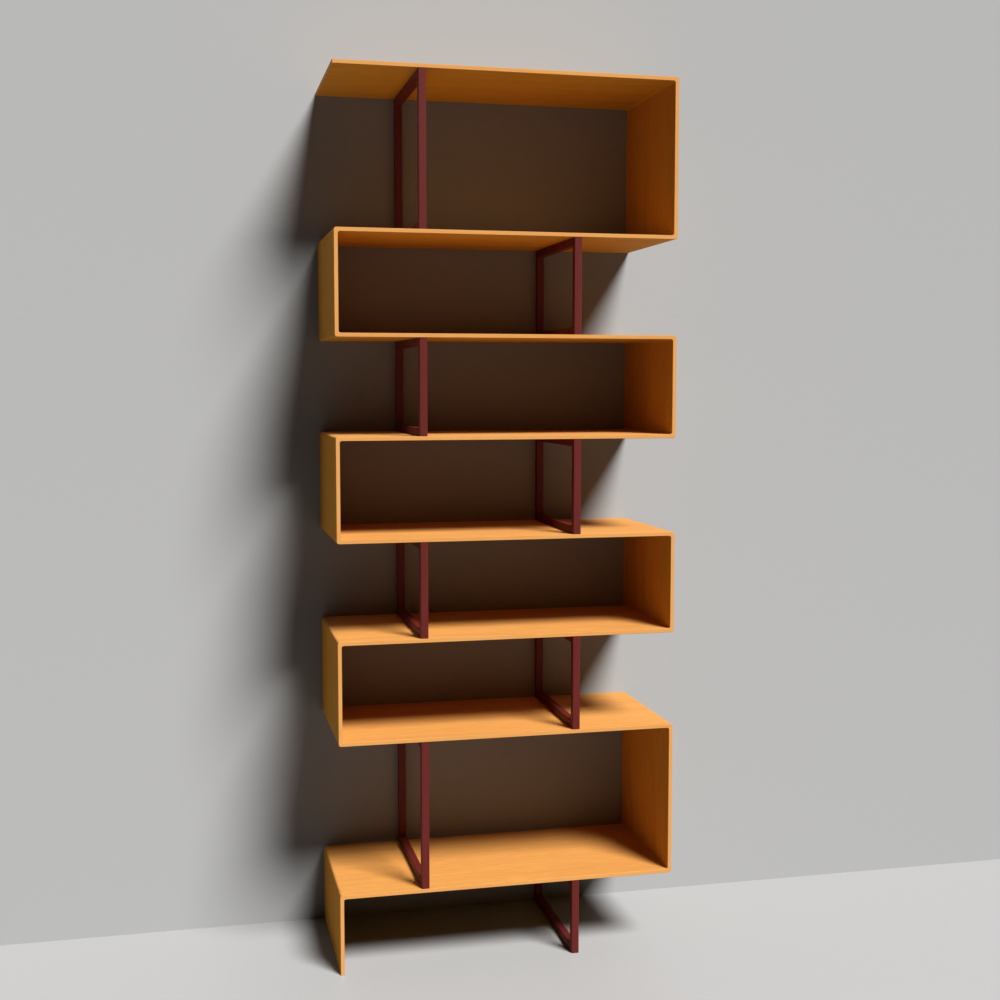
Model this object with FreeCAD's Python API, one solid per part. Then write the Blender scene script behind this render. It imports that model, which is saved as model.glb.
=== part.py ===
import FreeCAD, Part
import math
import os

# Zigzag bookshelf: one ribbon of thin mitred panels, folded to and fro, with an open frame of square bars
# in every bay. Millimetres. The origin is the middle of the footprint, on the floor: +X is to the right,
# -Y to the front and +Z up. Shelves, uprights and frames are numbered from the top.

# Ribbon
width = 800.0               # over the outsides of the folds
depth = 358.0               # front edge to rear edge of every panel
panel_thickness = 9.0
panel_arris = 0.5           # chamfer along the front and rear edges
fold_round = 6.0            # radius on the outside of a fold
fold_cove = 5.0             # radius on the inside of a fold

# Levels, top face to top face
foot_height = 188.0         # floor to the lowest shelf
low_pitch = 356.0           # lowest shelf to the one above it
small_pitch = 231.2         # shelf to shelf through the stack of small bays
top_pitch = 361.0           # second shelf to the top shelf
small_bay_count = 5

# Splines, the loose tongues glued across the mitres
spline_thickness = 3.0
spline_inset = 4.0          # inside corner of the fold to the spline's middle, along the mitre
spline_cover = 1.6          # wood left between a groove and the panel's outside face
spline_stop = 20.0          # panel's front or rear edge to the groove's end

# Frames
bar_size = 18.0             # square section of posts and rails
bar_ease = 2.0              # rounding along the bars' open edges
frame_setback = 0.5         # behind the ribbon's front edge, and in front of its rear edge
left_frame_inset = 199.0    # ribbon's left side to the middle of a left-hand frame
right_frame_inset = 240.0   # ribbon's right side to the middle of a right-hand frame
tenon_thickness = 6.0
tenon_height = 12.0
tenon_length = 10.0

# Loose tenons between rails and shelves
loose_thickness = 5.0
loose_width = 24.0
loose_in_rail = 11.0        # depth of the mortise in a rail
loose_cover = 3.0           # wood left over the mortise in a shelf
loose_inset = 60.0          # rail's shoulder to the middle of a loose tenon

# Fits and cuts
fit_clearance = 0.1         # each side of a spline or tenon
end_clearance = 0.5         # glue room at the end of a tenon
overrun = 5.0               # cutters pass the faces by this much

# Worked-out places
left_side = -width / 2
right_side = width / 2
front_edge = -depth / 2
frame_front = front_edge + frame_setback
frame_depth = depth - 2 * frame_setback
rail_length = frame_depth - 2 * bar_size
pitches_upwards = [low_pitch] + [small_pitch] * small_bay_count + [top_pitch]
levels_upwards = [foot_height + sum(pitches_upwards[:count]) for count in range(len(pitches_upwards) + 1)]
shelf_tops = levels_upwards[::-1]
shelf_count = len(shelf_tops)
spline_length = depth - 2 * spline_stop
spline_reach = (panel_thickness - spline_cover) * math.sqrt(2) - spline_inset - spline_thickness / 2

# Fold senses: the next panel stands on this one's far face, on its near face, or there is none
FAR, NEAR, FREE = 1, -1, 0
EIGHTH_TURN = math.pi / 4   # lean of a mitre


def bay_is_right(bay):
    """True where the upright of this bay, counted from 1 at the top, stands at the right."""
    return bay % 2 == 1


def bay_floor(bay):
    """Height of the surface under this bay: the next shelf's top face, or the floor."""
    return shelf_tops[bay] if bay < shelf_count else 0.0


def bay_ceiling(bay):
    """Height of the underside of the shelf over this bay."""
    return shelf_tops[bay - 1] - panel_thickness


def frame_middle(bay):
    """X of the middle of the frame in this bay, which stands away from the bay's upright."""
    return left_side + left_frame_inset if bay_is_right(bay) else right_side - right_frame_inset


def box(x_range, y_range, z_range):
    """Box between three pairs of limits."""
    low = [min(limits) for limits in (x_range, y_range, z_range)]
    size = [abs(limits[1] - limits[0]) for limits in (x_range, y_range, z_range)]
    return Part.makeBox(*size, FreeCAD.Vector(*low))


def eighth_arc(centre, radius):
    """Three points of the arc from a 45-degree mitre to the foot of a circle centred at (centre, centre)."""
    turns = (EIGHTH_TURN, EIGHTH_TURN / 2, 0)
    return [(centre - radius * math.sin(turn), centre - radius * math.cos(turn)) for turn in turns]


def end_outline(fold):
    """Outline across a panel's end, as (u, v): u into the panel, v from its near face to its far face."""
    if fold == FREE:
        return [[(0, 0), (0, panel_thickness)]]
    outside = eighth_arc(fold_round, fold_round)[::-1]
    inside = eighth_arc(panel_thickness + fold_cove, fold_cove)
    pieces = [outside, [outside[-1], inside[0]], inside]
    if fold == FAR:
        return pieces
    return [[(u, panel_thickness - v) for u, v in piece[::-1]] for piece in pieces[::-1]]


def panel(length, folds, place):
    """Panel of this length, mitred and rounded for the fold at each end, chamfered along front and rear.

    place(u, v) gives the X and Z of a point u along the panel and v through its thickness.
    """
    start = end_outline(folds[0])
    end = [[(length - u, v) for u, v in piece[::-1]] for piece in end_outline(folds[1])[::-1]]
    far_face = [start[-1][-1], end[0][0]]
    near_face = [end[-1][-1], start[0][0]]
    edges = []
    for piece in start + [far_face] + end + [near_face]:
        points = [FreeCAD.Vector(x, front_edge, z) for x, z in (place(u, v) for u, v in piece)]
        curve = Part.Arc(*points) if len(points) == 3 else Part.LineSegment(*points)
        edges.append(curve.toShape())
    blank = Part.Face(Part.Wire(edges)).extrude(FreeCAD.Vector(0, depth, 0))
    return blank.makeChamfer(panel_arris, [edge for edge in blank.Edges if is_open_edge(edge)])


def is_open_edge(edge):
    """True for a panel's front and rear edges, other than the lines of its mitres."""
    span = edge.BoundBox
    straight = isinstance(edge.Curve, Part.Line)
    if span.YLength > panel_arris:
        return False
    return not straight or min(span.XLength, span.ZLength) < panel_arris


def shelf(number):
    """Horizontal panel, with one upright folding up from it and the next folding down."""
    right_fold = FAR if not bay_is_right(number) else NEAR
    left_fold = -right_fold if number > 1 else FREE
    near_face = shelf_tops[number - 1] - panel_thickness
    return panel(width, (left_fold, right_fold), lambda u, v: (left_side + u, near_face + v))


def upright(bay):
    """Vertical panel at one side of a bay. The last one runs down to the floor as a leg."""
    is_leg = bay == shelf_count
    bottom = 0.0 if is_leg else bay_floor(bay) - panel_thickness
    length = shelf_tops[bay - 1] - bottom
    folds = (FREE if is_leg else FAR, FAR)
    if bay_is_right(bay):
        return panel(length, folds, lambda u, v: (right_side - v, bottom + u))
    return panel(length, folds, lambda u, v: (left_side + v, bottom + u))


def spline_at(bay, at_top, clearance):
    """Spline, or with a clearance its groove, across the mitre at the top or bottom of a bay's upright."""
    reach = spline_reach + clearance
    half_thickness = spline_thickness / 2 + clearance
    half_length = spline_length / 2 + clearance
    strip = box((-reach, reach), (-half_length, half_length), (-half_thickness, half_thickness))
    outward = 1 if bay_is_right(bay) else -1
    upward = 1 if at_top else -1
    strip.rotate(FreeCAD.Vector(), FreeCAD.Vector(0, 1, 0), outward * upward * math.degrees(EIGHTH_TURN))
    inset = spline_inset / math.sqrt(2)
    corner_x = outward * (width / 2 - panel_thickness)
    corner_z = bay_ceiling(bay) if at_top else bay_floor(bay)
    strip.translate(FreeCAD.Vector(corner_x + outward * inset, 0, corner_z + upward * inset))
    return strip


def frame_ring(bay):
    """The four bars of a frame in one piece, with their open edges rounded over."""
    middle, bottom, top = frame_middle(bay), bay_floor(bay), bay_ceiling(bay)
    sides = (middle - bar_size / 2, middle + bar_size / 2)
    block = box(sides, (frame_front, frame_front + frame_depth), (bottom, top))
    inner_front = frame_front + bar_size
    opening = box(
        (sides[0] - overrun, sides[1] + overrun),
        (inner_front, inner_front + rail_length),
        (bottom + bar_size, top - bar_size),
    )
    ring = block.cut(opening)

    def is_open(edge):
        span = edge.BoundBox
        seated = span.ZLength < bar_ease and (span.ZMin < bottom + bar_ease or span.ZMax > top - bar_ease)
        return span.XLength < bar_ease and not seated

    return ring.makeFillet(bar_ease, [edge for edge in ring.Edges if is_open(edge)])


def tenon(bay, at_top, at_front, clearance, gap):
    """Tenon on a rail's end or, with a clearance and an end gap, the mortise for it in the post."""
    middle = frame_middle(bay)
    height = bay_ceiling(bay) - bar_size / 2 if at_top else bay_floor(bay) + bar_size / 2
    shoulder = frame_front + bar_size if at_front else frame_front + bar_size + rail_length
    outward = -1 if at_front else 1
    half_thickness = tenon_thickness / 2 + clearance
    half_height = tenon_height / 2 + clearance
    return box(
        (middle - half_thickness, middle + half_thickness),
        (shoulder - outward * overrun, shoulder + outward * (tenon_length + gap)),
        (height - half_height, height + half_height),
    )


def post(bay, ring, at_front):
    """Upright bar of a frame, with a mortise for each rail."""
    near = frame_front if at_front else frame_front + bar_size + rail_length
    middle = frame_middle(bay)
    region = box(
        (middle - bar_size, middle + bar_size),
        (near, near + bar_size),
        (bay_floor(bay) - overrun, bay_ceiling(bay) + overrun),
    )
    bar = ring.common(region)
    for at_top in (True, False):
        bar = bar.cut(tenon(bay, at_top, at_front, fit_clearance, end_clearance))
    return bar


def rail(bay, ring, at_top):
    """Bar between the posts of a frame, with a tenon at each end and mortises for its loose tenons."""
    middle = frame_middle(bay)
    seat = bay_ceiling(bay) if at_top else bay_floor(bay)
    inward = -1 if at_top else 1
    region = box(
        (middle - bar_size, middle + bar_size),
        (frame_front + bar_size, frame_front + bar_size + rail_length),
        (seat - inward * overrun, seat + inward * bar_size),
    )
    bar = ring.common(region)
    for at_front in (True, False):
        bar = bar.fuse(tenon(bay, at_top, at_front, 0.0, 0.0))
    bar = bar.removeSplitter()
    for mortise in loose_tenons(bay, at_top, fit_clearance, end_clearance):
        bar = bar.cut(mortise)
    return bar


def loose_tenons(bay, at_top, clearance, gap):
    """Loose tenons between one rail and its shelf or, with a clearance and an end gap, their mortises."""
    if bay == shelf_count and not at_top:
        return []                               # the last bottom rail stands on the floor
    middle = frame_middle(bay)
    seat = bay_ceiling(bay) if at_top else bay_floor(bay)
    inward = -1 if at_top else 1
    in_shelf = panel_thickness - loose_cover - end_clearance
    in_rail = loose_in_rail - end_clearance
    half_thickness = loose_thickness / 2 + clearance
    half_width = loose_width / 2 + clearance
    shoulder = frame_front + bar_size
    return [
        box(
            (middle - half_thickness, middle + half_thickness),
            (y - half_width, y + half_width),
            (seat - inward * (in_shelf + gap), seat + inward * (in_rail + gap)),
        )
        for y in (shoulder + loose_inset, shoulder + rail_length - loose_inset)
    ]


def main():
    """Writes every piece to its own file."""
    os.makedirs("parts", exist_ok=True)
    bays = range(1, shelf_count + 1)
    folds = [(bay, at_top) for bay in bays for at_top in (True, False) if at_top or bay < shelf_count]
    seats = [(bay, at_top) for bay in bays for at_top in (True, False)]
    pieces = {}

    for number in bays:
        board = shelf(number)
        for bay, at_top in folds:
            if number == (bay if at_top else bay + 1):
                board = board.cut(spline_at(bay, at_top, fit_clearance))
        for bay, at_top in seats:
            if number == (bay if at_top else bay + 1):
                for mortise in loose_tenons(bay, at_top, fit_clearance, end_clearance):
                    board = board.cut(mortise)
        pieces[f"shelf_{number}"] = board

    for bay in bays:
        board = upright(bay)
        for at_top in (True, False):
            if (bay, at_top) in folds:
                board = board.cut(spline_at(bay, at_top, fit_clearance))
        pieces[f"upright_{bay}"] = board

    for bay in bays:
        ring = frame_ring(bay)
        pieces[f"frame_{bay}_front_post"] = post(bay, ring, True)
        pieces[f"frame_{bay}_rear_post"] = post(bay, ring, False)
        pieces[f"frame_{bay}_top_rail"] = rail(bay, ring, True)
        pieces[f"frame_{bay}_bottom_rail"] = rail(bay, ring, False)

    pieces["fold_splines"] = Part.makeCompound([spline_at(bay, at_top, 0.0) for bay, at_top in folds])
    pieces["loose_tenons"] = Part.makeCompound(
        [key for bay, at_top in seats for key in loose_tenons(bay, at_top, 0.0, 0.0)]
    )

    for node, shape in pieces.items():
        shape.exportStep(f"parts/{node}.step")


main()
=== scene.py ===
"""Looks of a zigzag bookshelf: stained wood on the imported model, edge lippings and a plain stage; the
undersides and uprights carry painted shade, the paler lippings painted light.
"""
import math
from typing import NamedTuple

import bpy
from bpy.props import FloatProperty, FloatVectorProperty, PointerProperty
from mathutils import Euler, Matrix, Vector


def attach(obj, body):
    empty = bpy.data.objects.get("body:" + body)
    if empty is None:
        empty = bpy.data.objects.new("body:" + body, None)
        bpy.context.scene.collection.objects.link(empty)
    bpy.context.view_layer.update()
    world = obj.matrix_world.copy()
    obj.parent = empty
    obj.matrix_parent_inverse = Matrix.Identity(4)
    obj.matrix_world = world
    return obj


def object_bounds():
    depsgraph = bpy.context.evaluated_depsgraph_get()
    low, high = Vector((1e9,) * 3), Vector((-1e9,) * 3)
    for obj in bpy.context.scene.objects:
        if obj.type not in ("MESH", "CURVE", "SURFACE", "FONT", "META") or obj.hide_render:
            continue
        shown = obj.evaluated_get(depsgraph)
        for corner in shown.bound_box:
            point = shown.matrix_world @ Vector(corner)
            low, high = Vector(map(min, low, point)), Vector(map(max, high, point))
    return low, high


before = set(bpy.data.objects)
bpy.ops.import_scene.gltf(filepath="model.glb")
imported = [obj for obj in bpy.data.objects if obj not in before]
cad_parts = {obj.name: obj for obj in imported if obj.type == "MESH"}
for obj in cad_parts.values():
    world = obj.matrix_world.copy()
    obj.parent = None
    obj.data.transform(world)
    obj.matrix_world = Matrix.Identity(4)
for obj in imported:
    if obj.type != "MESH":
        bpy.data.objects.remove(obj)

bl_info = {
    "name": "Zigzag Bookshelf Looks",
    "version": (1, 0, 0),
    "blender": (4, 5, 0),
    "location": "View3D > Sidebar > Bookshelf",
    "description": "Stains the ribbon and the frames, lips the edges and lights the stage",
    "category": "Object",
}

CAD_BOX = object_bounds()
BODY = "root"
SHELVES = sorted(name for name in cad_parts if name.startswith("shelf_"))
UPRIGHTS = sorted(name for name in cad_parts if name.startswith("upright_"))
POSTS = sorted(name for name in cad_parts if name.endswith("_post"))
RAILS = sorted(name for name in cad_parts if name.endswith("_rail"))
JOINERY = ["fold_splines", "loose_tenons"]

# Turns of a grain pattern that runs along X, so that it runs along X, Y or Z of the object
GRAIN_TURNS = {"X": (0.0, 0.0, 0.0), "Y": (0.0, 0.0, -math.pi / 2), "Z": (0.0, math.pi / 2, 0.0)}

# Depth of the grain on lacquered and on bare wood, in metres, and how strongly it shades
LACQUERED_RELIEF = 0.0003
BARE_RELIEF = 0.0002
RELIEF_STRENGTH = 0.35

# Z of a normal below which a shelf's face is an underside, which takes a darker, less blue colour as
# painted shade
SHADED_UNDERSIDE_NORMAL = -0.5

# Y of a normal, towards the front or the rear, past which a panel's face is an edge
EDGE_NORMAL = 0.999

# Distance within which a lipping's corners are welded, as a share of its thickness
WELD_SHARE = 1 / 20

# Half width of the stage and height of the backdrop, in metres
STAGE_REACH = 30.0
BACKDROP_RISE = 12.0

# Width of the camera's sensor, in millimetres
SENSOR_WIDTH = 36.0


class GrainLayer(NamedTuple):
    """One layer of the grain, made of noise."""

    # Cell of the noise, in grain lengths and in grain widths
    along: float
    across: float
    # Settings of the noise
    detail: float
    roughness: float
    distortion: float
    # Noise at which the layer begins to show and at which it shows in full
    low: float
    high: float
    # How much it darkens, dulls and sinks the wood
    shade: float
    dulling: float = 0.0
    sinking: float = 0.0


FIGURE = GrainLayer(
    along=9.0, across=13.0, detail=2.0, roughness=0.5, distortion=0.0, low=0.3, high=0.7, shade=0.3
)
LINES = GrainLayer(
    along=0.5, across=2.4, detail=4.0, roughness=0.62, distortion=0.3, low=0.36, high=0.72,
    shade=0.36, dulling=0.07, sinking=0.3,
)
PORES = GrainLayer(
    along=0.13, across=0.22, detail=1.0, roughness=0.4, distortion=0.0, low=0.62, high=0.74,
    shade=0.3, dulling=0.12, sinking=0.7,
)

# Noise that makes the grain wander: its cell, as above, and its shift, in cells of the shifted layer
DRIFT_ALONG = 6.0
DRIFT_ACROSS = 30.0
DRIFT_SPREAD = 6.0


def colour_property(name, description, default):
    """Linear colour setting."""
    return FloatVectorProperty(
        name=name, description=description, default=default, size=3, subtype="COLOR", min=0.0, max=1.0
    )


def length_property(name, description, default):
    """Length setting, in metres."""
    return FloatProperty(
        name=name, description=description, default=default,
        min=0.0, precision=5, subtype="DISTANCE", unit="LENGTH",
    )


def share_property(name, description, default):
    """Setting between 0 and 1."""
    return FloatProperty(
        name=name, description=description, default=default, min=0.0, max=1.0, subtype="FACTOR"
    )


def angle_property(name, description, degrees):
    """Angle setting, given here in degrees."""
    return FloatProperty(
        name=name, description=description, default=math.radians(degrees),
        subtype="ANGLE", unit="ROTATION",
    )


def strength_property(name, description, default):
    """Strength of a distant lamp."""
    return FloatProperty(name=name, description=description, default=default, min=0.0)


class BookshelfRibbon(bpy.types.PropertyGroup):
    """Stain and grain of the shelves and uprights, with painted shade in the darker, less blue colours
    of the undersides and uprights.
    """

    base_colour: colour_property("Stain", "Orange of the shelves' tops", (0.688, 0.308, 0.056))
    streak: colour_property("Streak", "Darker grain lines of the tops", (0.48, 0.168, 0.02))
    # Undersides: a darker, less blue copy of the stain, as painted shade
    underside_painted_shade: colour_property("Underside stain", "Orange below a shelf", (0.64, 0.297, 0.018))
    underside_shaded_streak: colour_property("Underside streak", "Darker grain lines", (0.446, 0.163, 0.006))
    # Uprights: a darker, less blue copy of the stain, as painted shade
    upright_painted_shade: colour_property("Upright stain", "Orange of the uprights", (0.62, 0.278, 0.036))
    upright_shaded_streak: colour_property("Upright streak", "Darker grain lines", (0.433, 0.152, 0.012))
    grain_length: length_property("Grain length", "Length of a grain line along the ribbon", 0.11)
    grain_width: length_property("Grain width", "Width of a grain line across the ribbon", 0.0026)
    roughness: share_property("Roughness", "Dullness of the lacquer", 0.8)
    shelf_gloss: share_property("Shelf gloss", "Strength of the gloss on the rubbed tops", 0.75)
    underside_gloss: share_property("Underside gloss", "Strength of the gloss on the undersides", 0.3)
    upright_gloss: share_property("Upright gloss", "Strength of the gloss on the uprights", 0.08)


class BookshelfLipping(bpy.types.PropertyGroup):
    """Thin strips along the front and rear edges of the panels, paler than the panels as painted light
    on the edges.
    """

    # The paler orange and its paler streak are painted light on the edges
    base_colour: colour_property("Stain", "Paler orange of the lippings", (0.722, 0.341, 0.1))
    streak: colour_property("Streak", "Darker orange of their grain lines", (0.645, 0.268, 0.064))
    gloss: share_property("Gloss", "Strength of the gloss on the lippings", 0.15)
    thickness: length_property("Thickness", "How far a lipping stands proud of its panel", 0.00025)


class BookshelfFrames(bpy.types.PropertyGroup):
    """Stain and grain of the open frames."""

    base_colour: colour_property("Stain", "Burgundy of the bars", (0.1255, 0.015, 0.0114))
    streak: colour_property("Streak", "Darker burgundy of the grain lines", (0.0855, 0.0082, 0.0064))
    grain_length: length_property("Grain length", "Length of a grain line along a bar", 0.07)
    grain_width: length_property("Grain width", "Width of a grain line across a bar", 0.0018)
    roughness: share_property("Roughness", "Dullness of the lacquer", 0.5)
    gloss: share_property("Gloss", "Strength of the gloss on the bars", 0.2)


class BookshelfJoinery(bpy.types.PropertyGroup):
    """Bare wood of the splines and loose tenons inside the joints."""

    wood: colour_property("Wood", "Bare beech", (0.55, 0.36, 0.2))
    streak: colour_property("Streak", "Darker flecks of the beech", (0.4, 0.24, 0.12))
    grain_length: length_property("Grain length", "Length of a fleck", 0.02)
    grain_width: length_property("Grain width", "Width of a fleck", 0.0012)
    roughness: share_property("Roughness", "Dullness of the bare wood", 0.7)
    gloss: share_property("Gloss", "Strength of the gloss on the bare wood", 0.3)


class BookshelfStage(bpy.types.PropertyGroup):
    """Floor, backdrop, lamps and camera."""

    floor: colour_property("Floor", "Grey of the floor", (0.2265, 0.2245, 0.2214))
    floor_roughness: share_property("Floor roughness", "Dullness of the floor", 0.45)
    floor_gloss: share_property("Floor gloss", "Strength of the gloss on the floor", 0.75)
    floor_bounce: share_property("Floor bounce", "Share of light that the far floor throws back", 0.22)
    foot_bounce: share_property("Foot bounce", "The same share at the foot of the bookshelf", 0.75)
    foot_reach: length_property("Foot reach", "How far away the foot bounce has faded out", 4.8)
    backdrop: colour_property("Backdrop", "Grey of the backdrop", (0.24, 0.24, 0.2365))
    backdrop_gap: length_property("Backdrop gap", "Room between the bookshelf and the backdrop", 0.0005)
    backdrop_bounce: share_property("Backdrop bounce", "Share of its light that it throws back", 0.75)
    surround: colour_property("Surround", "Grey that shows where the stage ends", (0.25, 0.25, 0.248))
    surround_light: colour_property("Surround light", "Faint light from all around", (0.01, 0.01, 0.01))
    key_strength: strength_property("Key strength", "Light of the lamp on the bookshelf alone", 5.72)
    key_azimuth: angle_property("Key azimuth", "Key lamp's turn to the right of the front", 28.1)
    key_elevation: angle_property("Key elevation", "Key lamp's height above the horizon", 50.0)
    key_softness: angle_property("Key softness", "Key lamp's width as the bookshelf sees it", 19.0)
    stage_strength: strength_property("Stage strength", "Light of the lamp on the stage alone", 10.9)
    stage_elevation: angle_property("Stage elevation", "Stage lamp's height above the horizon", 51.3)
    stage_softness: angle_property("Stage softness", "Stage lamp's width as the stage sees it", 22.0)
    rim_strength: strength_property("Rim strength", "Light of the lamp on rear edges and posts", 1.2)
    rim_azimuth: angle_property("Rim azimuth", "Rim lamp's turn to the right of the front", 165.0)
    rim_elevation: angle_property("Rim elevation", "Rim lamp's height above the horizon", 0.0)
    rim_softness: angle_property("Rim softness", "Rim lamp's width as the bookshelf sees it", 4.0)
    camera_place: FloatVectorProperty(
        name="Camera place", description="Where the camera stands", default=(-0.7443, -3.2719, 1.356),
        subtype="TRANSLATION", unit="LENGTH",
    )
    camera_turn: angle_property("Camera turn", "Camera's turn to the right", 13.099)
    camera_tilt: angle_property("Camera tilt", "Camera's tilt down", 4.784)
    camera_lens: FloatProperty(
        name="Camera lens", description="Focal length", default=50.0, min=1.0, unit="CAMERA"
    )


class BookshelfLooks(bpy.types.PropertyGroup):
    """All settings of the bookshelf's looks."""

    ribbon: PointerProperty(type=BookshelfRibbon)
    lipping: PointerProperty(type=BookshelfLipping)
    frames: PointerProperty(type=BookshelfFrames)
    joinery: PointerProperty(type=BookshelfJoinery)
    stage: PointerProperty(type=BookshelfStage)


class Wiring:
    """Adds nodes to a tree and joins them up."""

    def __init__(self, tree):
        self.tree = tree

    def node(self, kind, inputs=None, **settings):
        """New node with these settings. An input is a value or the output socket that feeds it."""
        made = self.tree.nodes.new(kind)
        for name, value in settings.items():
            setattr(made, name, value)
        for key, value in (inputs or {}).items():
            self.feed(made.inputs[key], value)
        return made

    def feed(self, socket, value):
        """Links an output socket to this input, or sets its value."""
        if isinstance(value, bpy.types.NodeSocket):
            self.tree.links.new(value, socket)
        else:
            socket.default_value = value

    def math(self, operation, *values):
        """Result of a Math node."""
        made = self.node("ShaderNodeMath", dict(enumerate(values)), operation=operation)
        return made.outputs["Value"]

    def vector(self, operation, *values):
        """Result of a Vector Math node."""
        made = self.node("ShaderNodeVectorMath", dict(enumerate(values)), operation=operation)
        return made.outputs["Vector"]

    def length(self, vector):
        """Length of a vector."""
        made = self.node("ShaderNodeVectorMath", {0: vector}, operation="LENGTH")
        return made.outputs["Value"]

    def noise(self, vector, detail, roughness, distortion=0.0):
        """Value of a Noise Texture on a vector that is already scaled."""
        inputs = {
            "Vector": vector,
            "Scale": 1.0,
            "Detail": detail,
            "Roughness": roughness,
            "Distortion": distortion,
        }
        return self.node("ShaderNodeTexNoise", inputs, noise_dimensions="3D").outputs[0]

    def stretch(self, value, low, high):
        """Value stretched so that low becomes 0 and high becomes 1."""
        inputs = {"Value": value, "From Min": low, "From Max": high, "To Min": 0.0, "To Max": 1.0}
        return self.node("ShaderNodeMapRange", inputs, clamp=True).outputs[0]

    def mix(self, factor, first, second):
        """Colour between two colours."""
        # By number, as the names repeat: the factor and the two colours, and the mixed colour below
        inputs = {0: factor, 6: first, 7: second}
        return self.node("ShaderNodeMix", inputs, data_type="RGBA").outputs[2]


class Finish(NamedTuple):
    """What sets one wood apart from another."""

    # Base colour of the wood; on undersides and uprights it holds painted shade, on lippings painted
    # light
    base_colour: tuple
    streak: tuple
    grain_length: float
    grain_width: float
    roughness: float
    gloss: float
    relief: float = LACQUERED_RELIEF


def opaque(colour):
    """Colour with full alpha, for a node socket."""
    return (*colour, 1.0)


def add_sockets(tree, sockets):
    """Gives a node group these sockets, each as a name, a way and a kind."""
    for name, way, kind in sockets:
        tree.interface.new_socket(name, in_out=way, socket_type=kind)


def bare_material(name):
    """New material without nodes, and the wiring of its tree."""
    material = bpy.data.materials.new(name)
    material.use_nodes = True
    material.node_tree.nodes.clear()
    return material, Wiring(material.node_tree)


def grain_group():
    """Shader group for wood whose grain runs along X of the vector: figure, grain lines and pores."""
    name = "Wood grain"
    if name in bpy.data.node_groups:
        return bpy.data.node_groups[name]
    tree = bpy.data.node_groups.new(name, "ShaderNodeTree")
    add_sockets(tree, (
        ("Vector", "INPUT", "NodeSocketVector"),
        ("Stain", "INPUT", "NodeSocketColor"),
        ("Streak", "INPUT", "NodeSocketColor"),
        ("Grain Length", "INPUT", "NodeSocketFloat"),
        ("Grain Width", "INPUT", "NodeSocketFloat"),
        ("Roughness", "INPUT", "NodeSocketFloat"),
        ("Color", "OUTPUT", "NodeSocketColor"),
        ("Roughness", "OUTPUT", "NodeSocketFloat"),
        ("Height", "OUTPUT", "NodeSocketFloat"),
    ))
    wire = Wiring(tree)
    given = tree.nodes.new("NodeGroupInput").outputs

    def cells(along, across):
        """Vector in cells of this many grain lengths by grain widths."""
        run = wire.math("MULTIPLY", given["Grain Length"], along)
        breadth = wire.math("MULTIPLY", given["Grain Width"], across)
        size = wire.node("ShaderNodeCombineXYZ", {0: run, 1: breadth, 2: breadth}).outputs[0]
        return wire.vector("DIVIDE", given["Vector"], size)

    # The noise is 0.5 on average, so the grain wanders to both sides
    wander = wire.noise(cells(DRIFT_ALONG, DRIFT_ACROSS), detail=1.0, roughness=0.5)
    aside = wire.math("MULTIPLY", wire.math("SUBTRACT", wander, 0.5), DRIFT_SPREAD)
    shift = wire.node("ShaderNodeCombineXYZ", {0: 0.0, 1: aside, 2: 0.0}).outputs[0]

    def strength(layer):
        """How strongly this layer shows, from 0 to 1."""
        place = wire.vector("ADD", cells(layer.along, layer.across), shift)
        value = wire.noise(place, layer.detail, layer.roughness, layer.distortion)
        return wire.stretch(value, layer.low, layer.high)

    figure = strength(FIGURE)
    lines = strength(LINES)
    pores = strength(PORES)
    shade = wire.math("MULTIPLY", figure, FIGURE.shade)
    shade = wire.math("MULTIPLY_ADD", lines, LINES.shade, shade)
    shade = wire.math("MULTIPLY_ADD", pores, PORES.shade, shade)
    colour = wire.mix(wire.math("MINIMUM", shade, 1.0), given["Stain"], given["Streak"])
    dullness = wire.math("MULTIPLY_ADD", lines, LINES.dulling, given["Roughness"])
    dullness = wire.math("MULTIPLY_ADD", pores, PORES.dulling, dullness)
    height = wire.math("MULTIPLY", lines, -LINES.sinking)
    height = wire.math("MULTIPLY_ADD", pores, -PORES.sinking, height)
    wire.node("NodeGroupOutput", {"Color": colour, "Roughness": dullness, "Height": height})
    return tree


def wood(name, axis, finish):
    """Material of wood with this finish and with its grain along this axis of the object."""
    material, wire = bare_material(name)
    place = wire.node("ShaderNodeTexCoord").outputs["Object"]
    turned = wire.node("ShaderNodeMapping", {"Vector": place, "Rotation": GRAIN_TURNS[axis]}).outputs[0]
    grain = wire.node("ShaderNodeGroup", node_tree=grain_group())
    values = {
        "Vector": turned,
        "Stain": opaque(finish.base_colour),
        "Streak": opaque(finish.streak),
        "Grain Length": finish.grain_length,
        "Grain Width": finish.grain_width,
        "Roughness": finish.roughness,
    }
    for socket, value in values.items():
        wire.feed(grain.inputs[socket], value)
    bump = wire.node("ShaderNodeBump", {
        "Height": grain.outputs["Height"],
        "Strength": RELIEF_STRENGTH,
        "Distance": finish.relief,
    })
    surface = wire.node("ShaderNodeBsdfPrincipled", {
        "Base Color": grain.outputs["Color"],
        "Roughness": grain.outputs["Roughness"],
        "Specular IOR Level": finish.gloss,
        "Normal": bump.outputs[0],
    })
    wire.node("ShaderNodeOutputMaterial", {"Surface": surface.outputs[0]})
    return material


def ribbon_finish(ribbon, base_colour, streak, gloss):
    """Finish of the ribbon's grain in this base colour and gloss; the base colour holds painted shade
    for undersides and uprights and painted light for lippings.
    """
    return Finish(base_colour, streak, ribbon.grain_length, ribbon.grain_width, ribbon.roughness, gloss)


def dress(names, material):
    """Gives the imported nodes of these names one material."""
    for name in names:
        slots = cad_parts[name].data.materials
        slots.clear()
        slots.append(material)


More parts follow.
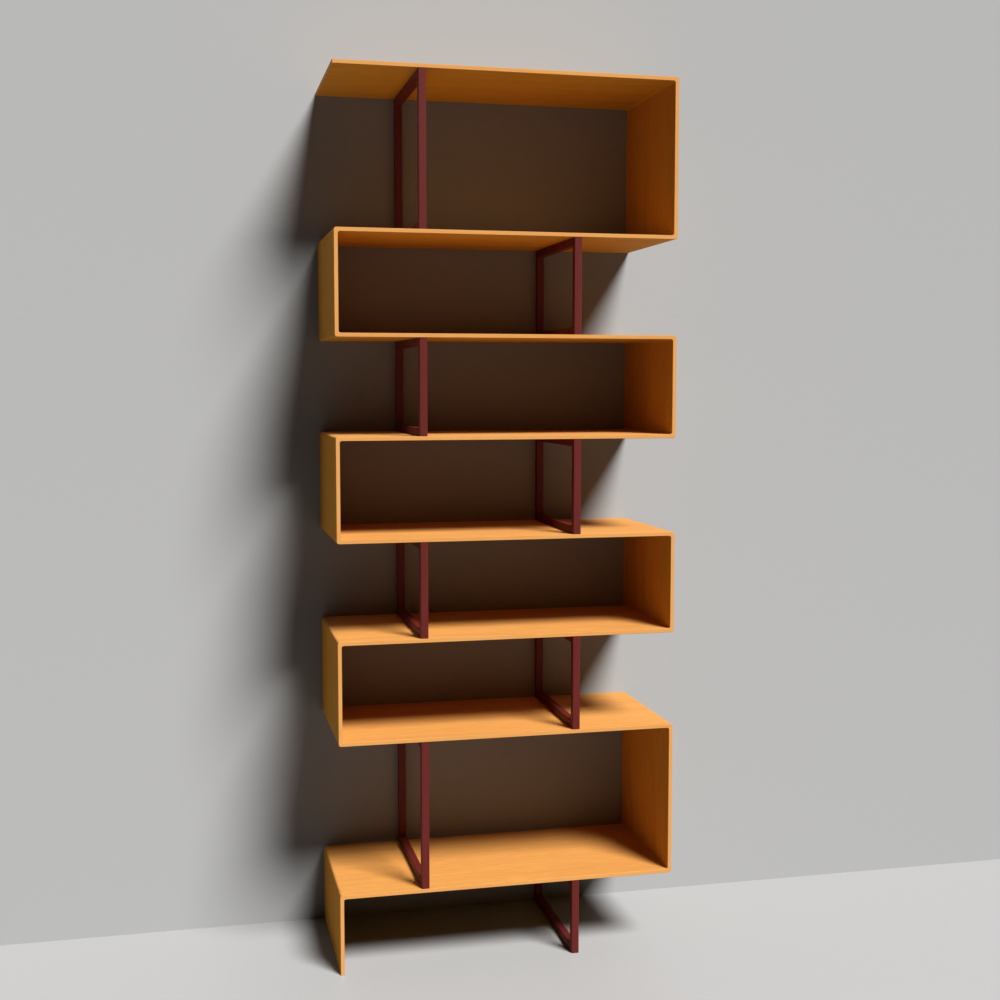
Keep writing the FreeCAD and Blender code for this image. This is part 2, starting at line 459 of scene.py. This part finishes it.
def paint_underside_shade(names, material):
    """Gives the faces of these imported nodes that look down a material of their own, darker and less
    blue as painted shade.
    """
    for name in names:
        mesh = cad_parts[name].data
        mesh.materials.append(material)
        added = len(mesh.materials) - 1
        for face in mesh.polygons:
            if face.normal.z < SHADED_UNDERSIDE_NORMAL:
                face.material_index = added


def lipping_tree():
    """Geometry Nodes tree that grows a thin closed strip from the front or rear edge of every panel."""
    tree = bpy.data.node_groups.new("Edge lipping", "GeometryNodeTree")
    tree.is_modifier = True
    add_sockets(tree, (
        ("Panels", "INPUT", "NodeSocketCollection"),
        ("Facing", "INPUT", "NodeSocketFloat"),
        ("Thickness", "INPUT", "NodeSocketFloat"),
        ("Weld", "INPUT", "NodeSocketFloat"),
        ("Wood", "INPUT", "NodeSocketMaterial"),
        ("Lipping", "OUTPUT", "NodeSocketGeometry"),
    ))
    wire = Wiring(tree)
    given = tree.nodes.new("NodeGroupInput").outputs

    def weld(geometry):
        """Geometry with its touching corners joined."""
        inputs = {"Geometry": geometry, "Distance": given["Weld"]}
        return wire.node("GeometryNodeMergeByDistance", inputs).outputs[0]

    panels = wire.node("GeometryNodeCollectionInfo", {"Collection": given["Panels"]}).outputs[0]
    solid = wire.node("GeometryNodeRealizeInstances", {0: panels}).outputs[0]
    normal = wire.node("GeometryNodeInputNormal").outputs[0]
    facing = wire.node("ShaderNodeSeparateXYZ", {0: normal}).outputs["Y"]
    turned = wire.math("MULTIPLY", facing, given["Facing"])
    test = {0: turned, 1: EDGE_NORMAL}
    is_edge = wire.node("FunctionNodeCompare", test, operation="GREATER_THAN").outputs[0]
    edges = wire.node("GeometryNodeSeparateGeometry", {0: solid, 1: is_edge}, domain="FACE").outputs[0]
    seat = weld(edges)
    growth = {"Mesh": seat, "Offset Scale": given["Thickness"], "Individual": False}
    strip = wire.node("GeometryNodeExtrudeMesh", growth, mode="FACES").outputs[0]
    # The seat, turned over, closes the strip where it is glued on
    glued = wire.node("GeometryNodeFlipFaces", {0: seat}).outputs[0]
    both = wire.node("GeometryNodeJoinGeometry")
    wire.feed(both.inputs[0], strip)
    wire.feed(both.inputs[0], glued)
    closed = weld(both.outputs[0])
    realized = wire.node("GeometryNodeRealizeInstances", {0: closed}).outputs[0]
    dressed = wire.node("GeometryNodeSetMaterial", {"Geometry": realized, "Material": given["Wood"]})
    wire.node("NodeGroupOutput", {0: dressed.outputs[0]})
    return tree


def grow_lipping(name, tree, panels, facing, thickness, material):
    """Adds the piece that the lipping tree makes from these packed panels, as a plain mesh."""
    group = bpy.data.collections.new(name)
    for panel in panels:
        group.objects.link(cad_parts[panel])
    piece = bpy.data.objects.new(name, bpy.data.meshes.new(name))
    bpy.context.scene.collection.objects.link(piece)
    modifier = piece.modifiers.new("Edge lipping", "NODES")
    modifier.node_group = tree
    values = {
        "Panels": group,
        "Facing": facing,
        "Thickness": thickness,
        "Weld": thickness * WELD_SHARE,
        "Wood": material,
    }
    for item in tree.interface.items_tree:
        if item.in_out == "INPUT":
            modifier[item.identifier] = values[item.name]
    depsgraph = bpy.context.evaluated_depsgraph_get()
    mesh = bpy.data.meshes.new_from_object(piece.evaluated_get(depsgraph), depsgraph=depsgraph)
    if not mesh.polygons:
        raise RuntimeError(f"{name} came out empty")
    piece.modifiers.clear()
    piece.data = mesh
    mesh.name = name
    bpy.data.collections.remove(group)
    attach(piece, BODY)


def stage_plane(name, corners, material):
    """Flat stage piece through four corners, facing the way that they turn."""
    mesh = bpy.data.meshes.new(name)
    mesh.from_pydata(corners, [], [(0, 1, 2, 3)])
    mesh.materials.append(material)
    piece = bpy.data.objects.new(name, mesh)
    bpy.context.scene.collection.objects.link(piece)
    return piece


def seen_share(wire):
    """1 for rays that show the stage to the camera, straight or by reflection, and 0 for the others."""
    path = wire.node("ShaderNodeLightPath").outputs
    seen = wire.math("MAXIMUM", path["Is Camera Ray"], path["Is Glossy Ray"])
    return wire.math("MAXIMUM", seen, path["Is Transmission Ray"])


def dimmed(colour, share):
    """This share of a colour, for a node socket."""
    return opaque([channel * share for channel in colour])


def floor_material(stage):
    """Pale satin floor that throws less light back than it shows, and least far from the bookshelf."""
    material, wire = bare_material("Floor")
    near = dimmed(stage.floor, stage.foot_bounce)
    far = dimmed(stage.floor, stage.floor_bounce)
    away = wire.length(wire.node("ShaderNodeTexCoord").outputs["Object"])
    thrown = wire.mix(wire.stretch(away, 0.0, stage.foot_reach), near, far)
    matt = wire.node("ShaderNodeBsdfDiffuse", {"Color": thrown}).outputs[0]
    satin = wire.node("ShaderNodeBsdfPrincipled", {
        "Base Color": opaque(stage.floor),
        "Roughness": stage.floor_roughness,
        "Specular IOR Level": stage.floor_gloss,
    }).outputs[0]
    surface = wire.node("ShaderNodeMixShader", {0: seen_share(wire), 1: matt, 2: satin})
    wire.node("ShaderNodeOutputMaterial", {"Surface": surface.outputs[0]})
    return material


def backdrop_material(stage):
    """Pale matt backdrop that throws less light back than it shows and is open from behind."""
    material, wire = bare_material("Backdrop")
    behind = wire.node("ShaderNodeNewGeometry").outputs["Backfacing"]
    thrown = dimmed(stage.backdrop, stage.backdrop_bounce)
    colour = wire.mix(seen_share(wire), thrown, opaque(stage.backdrop))
    front = wire.node("ShaderNodeBsdfDiffuse", {"Color": colour}).outputs[0]
    clear = wire.node("ShaderNodeBsdfTransparent").outputs[0]
    surface = wire.node("ShaderNodeMixShader", {0: behind, 1: front, 2: clear})
    wire.node("ShaderNodeOutputMaterial", {"Surface": surface.outputs[0]})
    return material


def sun(name, strength, azimuth, elevation, softness):
    """Distant lamp, turned to the right of the front and up from the horizon by these angles."""
    lamp = bpy.data.lights.new(name, "SUN")
    lamp.energy = strength
    lamp.angle = softness
    level = math.cos(elevation)
    towards = Vector((math.sin(azimuth) * level, -math.cos(azimuth) * level, math.sin(elevation)))
    holder = bpy.data.objects.new(name, lamp)
    holder.rotation_euler = towards.to_track_quat("Z", "Y").to_euler()
    bpy.context.scene.collection.objects.link(holder)
    return holder


def shine_only_on(lamp, pieces):
    """Keeps the lamp's light to these pieces."""
    lit = bpy.data.collections.new(lamp.name)
    for piece in pieces:
        lit.objects.link(piece)
    lamp.light_linking.receiver_collection = lit


def set_lamps(stage, bookshelf, planes):
    """Key lamp on the bookshelf, a like one on the stage and a weak one on the rear pieces."""
    key_lamp = sun(
        "key_lamp", stage.key_strength, stage.key_azimuth, stage.key_elevation, stage.key_softness
    )
    shine_only_on(key_lamp, bookshelf)
    stage_lamp = sun(
        "stage_lamp", stage.stage_strength, stage.key_azimuth,
        stage.stage_elevation, stage.stage_softness,
    )
    # Hidden from reflections, as its glare on the floor would burn out when seen from behind
    stage_lamp.visible_glossy = False
    shine_only_on(stage_lamp, planes)
    rim_lamp = sun(
        "rim_lamp", stage.rim_strength, stage.rim_azimuth, stage.rim_elevation, stage.rim_softness
    )
    shine_only_on(rim_lamp, [piece for piece in bookshelf if "rear" in piece.name])


def set_world(stage):
    """World that gives almost no light and shows pale grey where the stage ends."""
    world = bpy.data.worlds.new("Studio")
    bpy.context.scene.world = world
    world.use_nodes = True
    world.node_tree.nodes.clear()
    wire = Wiring(world.node_tree)
    colour = wire.mix(seen_share(wire), opaque(stage.surround_light), opaque(stage.surround))
    light = wire.node("ShaderNodeBackground", {"Color": colour})
    wire.node("ShaderNodeOutputWorld", {"Surface": light.outputs[0]})


def set_camera(stage):
    """Camera that looks at the bookshelf from its front left."""
    camera = bpy.data.cameras.new("camera")
    camera.lens = stage.camera_lens
    camera.sensor_width = SENSOR_WIDTH
    holder = bpy.data.objects.new("camera", camera)
    holder.location = stage.camera_place
    holder.rotation_euler = Euler((math.pi / 2 - stage.camera_tilt, 0.0, -stage.camera_turn))
    bpy.context.scene.collection.objects.link(holder)
    bpy.context.scene.camera = holder


class BookshelfOperator:
    """What the bookshelf's operators share."""

    bl_options = {"REGISTER", "UNDO"}


class BOOKSHELF_OT_ribbon(BookshelfOperator, bpy.types.Operator):
    """Stain the shelves and uprights orange, with the grain along the ribbon; undersides and uprights
    get darker colours as painted shade
    """

    bl_idname = "bookshelf.ribbon"
    bl_label = "Stain the ribbon"

    def execute(self, context):
        ribbon = context.scene.bookshelf_looks.ribbon
        top = ribbon_finish(ribbon, ribbon.base_colour, ribbon.streak, ribbon.shelf_gloss)
        # Undersides take a darker, less blue colour than the tops: painted shade
        underside = ribbon_finish(
            ribbon, ribbon.underside_painted_shade, ribbon.underside_shaded_streak, ribbon.underside_gloss
        )
        # Uprights take a darker, less blue colour than the tops: painted shade
        upright = ribbon_finish(
            ribbon, ribbon.upright_painted_shade, ribbon.upright_shaded_streak, ribbon.upright_gloss
        )
        dress(SHELVES, wood("Orange shelf wood", "X", top))
        paint_underside_shade(SHELVES, wood("Orange underside wood", "X", underside))
        dress(UPRIGHTS, wood("Orange upright wood", "Z", upright))
        return {"FINISHED"}


class BOOKSHELF_OT_lippings(BookshelfOperator, bpy.types.Operator):
    """Glue lippings along the front and rear edges of the panels, paler as painted light on the edges"""

    bl_idname = "bookshelf.lippings"
    bl_label = "Lip the edges"

    def execute(self, context):
        looks = context.scene.bookshelf_looks
        lipping = looks.lipping
        finish = ribbon_finish(looks.ribbon, lipping.base_colour, lipping.streak, lipping.gloss)
        shelf_wood = wood("Shelf lipping wood", "X", finish)
        upright_wood = wood("Upright lipping wood", "Z", finish)
        tree = lipping_tree()
        thickness = lipping.thickness
        for end, facing in (("front", -1.0), ("rear", 1.0)):
            grow_lipping(f"shelf_lippings_{end}", tree, SHELVES, facing, thickness, shelf_wood)
            grow_lipping(f"upright_lippings_{end}", tree, UPRIGHTS, facing, thickness, upright_wood)
        return {"FINISHED"}


class BOOKSHELF_OT_frames(BookshelfOperator, bpy.types.Operator):
    """Stain the open frames burgundy, with the grain along each bar"""

    bl_idname = "bookshelf.frames"
    bl_label = "Stain the frames"

    def execute(self, context):
        bars = context.scene.bookshelf_looks.frames
        finish = Finish(
            bars.base_colour, bars.streak, bars.grain_length, bars.grain_width, bars.roughness, bars.gloss
        )
        dress(POSTS, wood("Burgundy post wood", "Z", finish))
        dress(RAILS, wood("Burgundy rail wood", "Y", finish))
        return {"FINISHED"}


class BOOKSHELF_OT_joinery(BookshelfOperator, bpy.types.Operator):
    """Leave the splines and loose tenons as bare beech"""

    bl_idname = "bookshelf.joinery"
    bl_label = "Bare the joinery"

    def execute(self, context):
        bare = context.scene.bookshelf_looks.joinery
        finish = Finish(
            bare.wood, bare.streak, bare.grain_length, bare.grain_width,
            bare.roughness, bare.gloss, BARE_RELIEF,
        )
        dress(JOINERY, wood("Bare beech", "Y", finish))
        return {"FINISHED"}


class BOOKSHELF_OT_stage(BookshelfOperator, bpy.types.Operator):
    """Set the floor, the backdrop, the lamps and the camera"""

    bl_idname = "bookshelf.stage"
    bl_label = "Set the stage"

    def execute(self, context):
        stage = context.scene.bookshelf_looks.stage
        bookshelf = [item for item in bpy.data.objects if item.type == "MESH"]
        reach = STAGE_REACH
        low = CAD_BOX[0].z
        high = low + BACKDROP_RISE
        back = CAD_BOX[1].y + stage.backdrop_gap
        ground = [(-reach, -reach, low), (reach, -reach, low), (reach, reach, low), (-reach, reach, low)]
        sheet = [(-reach, back, low), (reach, back, low), (reach, back, high), (-reach, back, high)]
        floor = stage_plane("floor", ground, floor_material(stage))
        backdrop = stage_plane("backdrop", sheet, backdrop_material(stage))
        backdrop.visible_shadow = False
        set_lamps(stage, bookshelf, [floor, backdrop])
        set_world(stage)
        set_camera(stage)
        context.scene.view_settings.view_transform = "Standard"
        return {"FINISHED"}


class BOOKSHELF_PT_looks(bpy.types.Panel):
    """The bookshelf's settings and steps"""

    bl_idname = "BOOKSHELF_PT_looks"
    bl_label = "Zigzag bookshelf"
    bl_space_type = "VIEW_3D"
    bl_region_type = "UI"
    bl_category = "Bookshelf"

    def draw(self, context):
        looks = context.scene.bookshelf_looks
        for group, step in STEPS:
            settings = getattr(looks, group)
            box = self.layout.box()
            for name in settings.__annotations__:
                box.prop(settings, name)
            box.operator(step.bl_idname)


STEPS = (
    ("ribbon", BOOKSHELF_OT_ribbon),
    ("lipping", BOOKSHELF_OT_lippings),
    ("frames", BOOKSHELF_OT_frames),
    ("joinery", BOOKSHELF_OT_joinery),
    ("stage", BOOKSHELF_OT_stage),
)
CLASSES = (
    BookshelfRibbon,
    BookshelfLipping,
    BookshelfFrames,
    BookshelfJoinery,
    BookshelfStage,
    BookshelfLooks,
    *(step for _, step in STEPS),
    BOOKSHELF_PT_looks,
)


def register():
    """Adds the settings, the operators and the panel."""
    for kind in CLASSES:
        bpy.utils.register_class(kind)
    bpy.types.Scene.bookshelf_looks = PointerProperty(type=BookshelfLooks)


def unregister():
    """Takes them away again."""
    del bpy.types.Scene.bookshelf_looks
    for kind in reversed(CLASSES):
        bpy.utils.unregister_class(kind)


def main():
    """Runs every step in order."""
    register()
    bpy.ops.bookshelf.ribbon()
    bpy.ops.bookshelf.lippings()
    bpy.ops.bookshelf.frames()
    bpy.ops.bookshelf.joinery()
    bpy.ops.bookshelf.stage()


if __name__ == "__main__":
    main()
